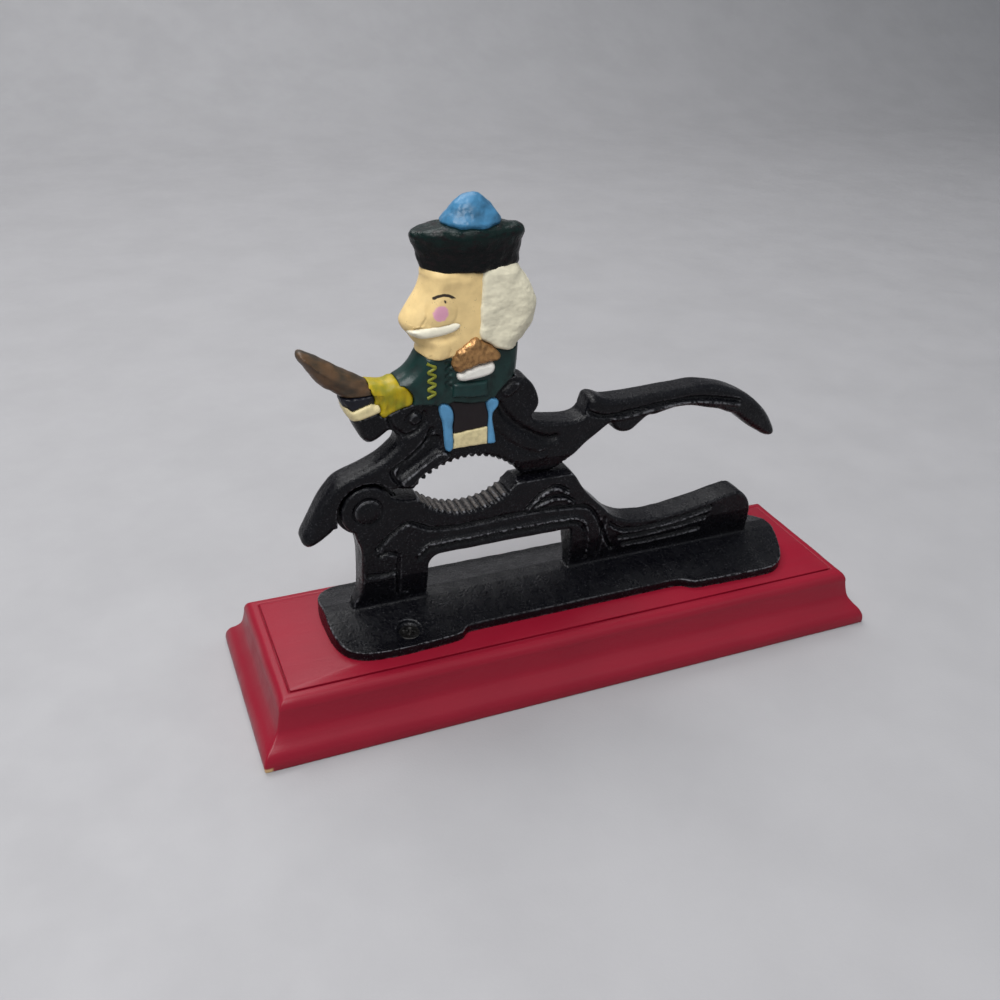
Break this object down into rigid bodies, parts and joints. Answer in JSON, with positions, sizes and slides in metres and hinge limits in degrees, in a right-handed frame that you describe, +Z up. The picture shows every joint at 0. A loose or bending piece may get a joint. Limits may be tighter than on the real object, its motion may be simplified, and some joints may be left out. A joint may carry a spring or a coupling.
{
  "type": "nutcracker",
  "caption": "Table-top lever nutcracker: a cast toy-soldier-on-horse lever hinged to a cast toothed lower jaw on a moulded red wooden base.",
  "frame": {"origin": "middle of the wooden base's underside", "axes": "+X along the base towards the handles, +Y away from the screwed ears of the foot, +Z up"},
  "size_m": [0.254, 0.0786, 0.18],
  "materials": {
    "red_lacquer": "satin opaque lacquer, brush and sanding marks",
    "black_iron": "semi-gloss black paint over a sand-cast surface",
    "black_iron_rivet": "semi-gloss black paint",
    "dark_steel": "dark, partly painted over",
    "green_paint": "semi-gloss hand-brushed paint",
    "dark_teal_paint": "semi-gloss hand-brushed paint",
    "copper_paint": "metallic copper paint",
    "white_paint": "satin hand-brushed paint",
    "olive_paint": "satin hand-brushed paint",
    "skin_paint": "satin hand-brushed paint with a pink cheek and a painted eye",
    "ivory_paint": "satin paint, shaded in the hollows",
    "green_black_paint": "semi-gloss hand-brushed paint",
    "blue_paint": "satin hand-brushed paint",
    "yellow_paint": "satin paint streaked with green",
    "brown_paint": "satin paint, worn",
    "navy_paint": "semi-gloss paint",
    "cream_paint": "satin hand-brushed paint",
    "dark_brown_paint": "semi-gloss paint"
  },
  "bodies": {
    "stand": {"wooden_base": "red_lacquer", "lower_casting": "black_iron", "hinge_pin": "black_iron_rivet", "base_screws": "dark_steel"},
    "lever": {"lever_casting": "black_iron", "jacket": "green_paint", "sleeve": "dark_teal_paint", "epaulette": "copper_paint", "epaulette_fringe": "white_paint", "jacket_braid": "olive_paint", "head": "skin_paint", "moustache": "white_paint", "hair": "ivory_paint", "hat": "green_black_paint", "pompom": "blue_paint", "mane": "yellow_paint", "horn": "brown_paint", "brow_band": "navy_paint", "noseband": "cream_paint", "blue_straps": "blue_paint", "saddle_panel": "dark_brown_paint", "saddle_cloth": "cream_paint"}
  },
  "joints": [
    {"name": "lever_hinge", "type": "hinge", "parent": "stand", "child": "lever", "pos_m": [-0.0785, 0.0025, 0.0735], "axis": [0, -1, 0], "range_deg": [0, 40]}
  ]
}
